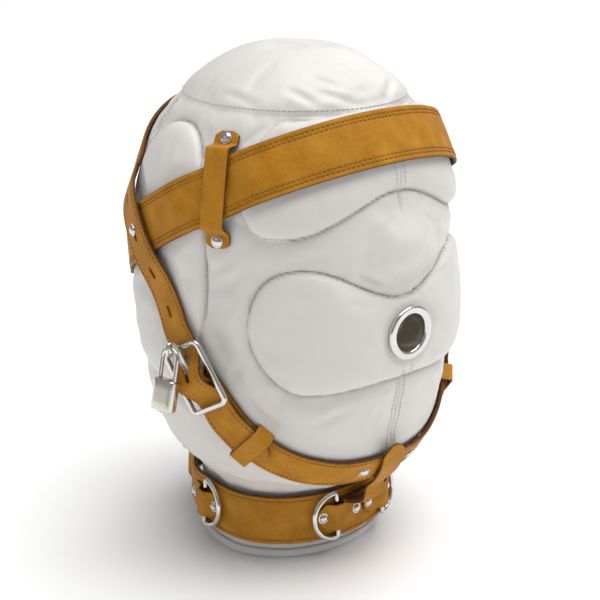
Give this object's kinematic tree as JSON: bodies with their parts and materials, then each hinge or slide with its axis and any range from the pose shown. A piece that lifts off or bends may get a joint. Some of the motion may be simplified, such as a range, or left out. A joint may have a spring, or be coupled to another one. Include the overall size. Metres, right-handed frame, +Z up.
{
  "type": "padded leather hood",
  "caption": "Padded leather full-head hood with a metal mouth port, riveted forehead band, jaw harness, locking buckles, padlock and a neck collar with D-rings.",
  "frame": {"origin": "middle of the footprint on the plane the neck hem rests on", "axes": "+Z up through the crown, -Y the way the face looks, -X the wearer's right"},
  "size_m": [0.2532, 0.2542, 0.342],
  "materials": {
    "hood_leather": "smooth white leather, low sheen",
    "strap_leather": "tan bridle leather with dark burnished edges",
    "lining_cloth": "plain woven lining",
    "pad_foam": "open-cell foam",
    "nickel": "polished nickel plate",
    "zip_tape": "woven zip tape"
  },
  "bodies": {
    "hood": {"back_panel_left": "hood_leather", "back_panel_right": "hood_leather", "cheek_foam_left": "pad_foam", "cheek_foam_right": "pad_foam", "chin_rivet_left": "nickel", "chin_rivet_right": "nickel", "chin_strap": "strap_leather", "collar": "strap_leather", "collar_keeper": "strap_leather", "collar_lining": "strap_leather", "crown_panel": "hood_leather", "d_ring_patch_front_left": "strap_leather", "d_ring_patch_front_right": "strap_leather", "d_ring_patch_side_left": "strap_leather", "d_ring_patch_side_right": "strap_leather", "ear_foam_left": "pad_foam", "ear_foam_right": "pad_foam", "eye_foam_left": "pad_foam", "eye_foam_right": "pad_foam", "face_panel_left": "hood_leather", "face_panel_right": "hood_leather", "forehead_band": "strap_leather", "forehead_keeper": "strap_leather", "harness_rivet_left": "nickel", "harness_rivet_right": "nickel", "harness_strap": "strap_leather", "inner_lining": "lining_cloth", "jaw_left_keeper": "strap_leather", "jaw_right_keeper": "strap_leather", "mouth_grommet": "nickel", "mouth_washer": "nickel", "neck_hem": "hood_leather", "temple_keeper_left": "strap_leather", "temple_keeper_right": "strap_leather", "temple_rivet_lower_left": "nickel", "temple_rivet_lower_right": "nickel", "temple_rivet_upper_left": "nickel", "temple_rivet_upper_right": "nickel", "zip_placket": "strap_leather", "zip_tape_left": "zip_tape", "zip_tape_right": "zip_tape"},
    "collar_buckle": {"collar_buckle": "nickel"},
    "collar_prong": {"collar_prong": "nickel"},
    "d_ring_front_left": {"d_ring_front_left": "nickel"},
    "d_ring_front_right": {"d_ring_front_right": "nickel"},
    "d_ring_side_left": {"d_ring_side_left": "nickel"},
    "d_ring_side_right": {"d_ring_side_right": "nickel"},
    "forehead_buckle": {"forehead_buckle": "nickel"},
    "forehead_prong": {"forehead_prong": "nickel"},
    "jaw_left_buckle": {"jaw_left_buckle": "nickel"},
    "jaw_left_prong": {"jaw_left_prong": "nickel"},
    "jaw_right_buckle": {"jaw_right_buckle": "nickel"},
    "jaw_right_prong": {"jaw_right_prong": "nickel"},
    "padlock_body": {"padlock_body": "nickel"},
    "padlock_plug": {"padlock_plug": "nickel"},
    "padlock_shackle": {"padlock_shackle": "nickel"},
    "zip_pull": {"zip_pull": "nickel"},
    "zip_slider": {"zip_slider": "nickel"}
  },
  "joints": [
    {"name": "forehead_buckle_rock", "type": "hinge", "parent": "hood", "child": "forehead_buckle", "pos_m": [0.00502, 0.11521, 0.17555], "axis": [0, -0.0063, -1], "range_deg": [-1.5, 1.5]},
    {"name": "forehead_prong_lift", "type": "hinge", "parent": "forehead_buckle", "child": "forehead_prong", "pos_m": [0.00502, 0.11521, 0.17555], "axis": [0, -0.0063, -1], "range_deg": [0, 50]},
    {"name": "jaw_right_buckle_rock", "type": "hinge", "parent": "hood", "child": "jaw_right_buckle", "pos_m": [-0.10082, -0.04453, 0.14713], "axis": [0.1834, -0.8363, 0.5166], "range_deg": [-1.5, 1.5]},
    {"name": "jaw_right_prong_lift", "type": "hinge", "parent": "jaw_right_buckle", "child": "jaw_right_prong", "pos_m": [-0.10082, -0.04453, 0.14713], "axis": [0.1834, -0.8363, 0.5166], "range_deg": [0, 10]},
    {"name": "jaw_left_buckle_rock", "type": "hinge", "parent": "hood", "child": "jaw_left_buckle", "pos_m": [0.11086, -0.04453, 0.14713], "axis": [0.1834, 0.8363, -0.5166], "range_deg": [-1.5, 1.5]},
    {"name": "jaw_left_prong_lift", "type": "hinge", "parent": "jaw_left_buckle", "child": "jaw_left_prong", "pos_m": [0.11086, -0.04453, 0.14713], "axis": [0.1834, 0.8363, -0.5166], "range_deg": [0, 50]},
    {"name": "collar_buckle_rock", "type": "hinge", "parent": "hood", "child": "collar_buckle", "pos_m": [-0.00417, 0.07109, 0.03177], "axis": [-0.0082, 0.0667, -0.9977], "range_deg": [-1.5, 1.5]},
    {"name": "collar_prong_lift", "type": "hinge", "parent": "collar_buckle", "child": "collar_prong", "pos_m": [-0.00417, 0.07109, 0.03177], "axis": [-0.0082, 0.0667, -0.9977], "range_deg": [0, 50]},
    {"name": "d_ring_front_right_swing", "type": "hinge", "parent": "hood", "child": "d_ring_front_right", "pos_m": [-0.00928, -0.07516, 0.03187], "axis": [0.012, 0.0831, 0.9965], "range_deg": [0, 100]},
    {"name": "d_ring_front_left_swing", "type": "hinge", "parent": "hood", "child": "d_ring_front_left", "pos_m": [0.03545, -0.06988, 0.03187], "axis": [0.0311, -0.0782, -0.9965], "range_deg": [0, 100]},
    {"name": "d_ring_side_right_swing", "type": "hinge", "parent": "hood", "child": "d_ring_side_right", "pos_m": [-0.06742, -0.00268, 0.03166], "axis": [-0.0635, 0.005, -0.998], "range_deg": [0, 140]},
    {"name": "d_ring_side_left_swing", "type": "hinge", "parent": "hood", "child": "d_ring_side_left", "pos_m": [0.07535, 0.01391, 0.03166], "axis": [-0.0606, -0.0196, 0.998], "range_deg": [0, 140]},
    {"name": "padlock_swing", "type": "hinge", "parent": "jaw_right_prong", "child": "padlock_shackle", "pos_m": [-0.11166, -0.03505, 0.16631], "axis": [-0.2531, 0.9674, 0], "range_deg": [0, 60]},
    {"name": "padlock_body_slide", "type": "slide", "parent": "padlock_shackle", "child": "padlock_body", "axis": [-0.234, -0.0612, -0.9703], "range_m": [0, 0.007]},
    {"name": "padlock_cylinder_turn", "type": "hinge", "parent": "padlock_body", "child": "padlock_plug", "pos_m": [-0.11166, -0.03505, 0.16631], "axis": [-0.234, -0.0612, -0.9703], "range_deg": [0, 90]},
    {"name": "zip_slider_travel", "type": "hinge", "parent": "hood", "child": "zip_slider", "pos_m": [0.00502, -0.20218, 0.179], "axis": [1, 0, 0], "range_deg": [0, 11.8]},
    {"name": "zip_pull_swing", "type": "hinge", "parent": "zip_slider", "child": "zip_pull", "pos_m": [0.00502, 0.09739, 0.09183], "axis": [1, 0, 0], "range_deg": [0, 110]}
  ]
}
